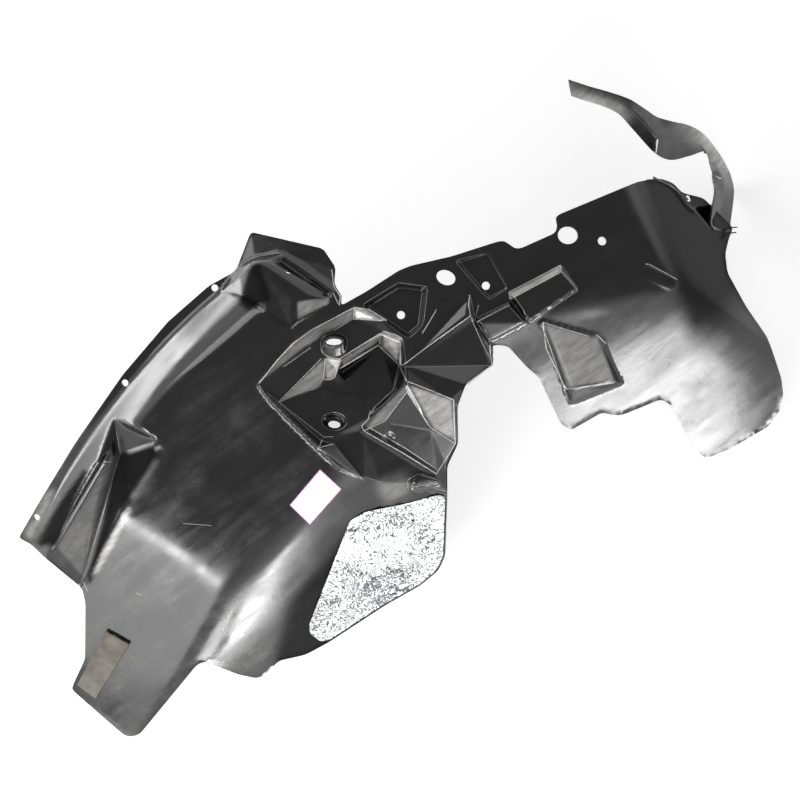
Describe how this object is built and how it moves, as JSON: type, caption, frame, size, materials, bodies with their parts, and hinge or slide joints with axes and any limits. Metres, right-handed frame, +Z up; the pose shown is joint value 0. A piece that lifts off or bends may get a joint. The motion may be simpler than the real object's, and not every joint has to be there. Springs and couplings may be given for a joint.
{
  "type": "wheel arch liner",
  "caption": "Moulded front wheel arch liner with two domed lobes, a faceted strut relief, a clip flange, a hooked rim strip and a foil heat shield.",
  "frame": {"origin": "centre of the footprint, on the floor that the rim rests on", "axes": "+X along the span of the arch, +Y outboard to the wheel opening, +Z up"},
  "size_m": [0.98, 0.545, 0.2367],
  "materials": {
    "black_plastic": "satin black moulded plastic with flow marks and scuffs",
    "crinkled_foil": "crinkled bright foil",
    "grey_foam": "matt closed-cell foam",
    "white_paper": "plain paper with a thin coloured edge"
  },
  "bodies": {
    "root": {"liner_shell": "black_plastic", "heat_shield_foil": "crinkled_foil", "foam_pad": "grey_foam", "paper_label": "white_paper"}
  },
  "joints": []
}
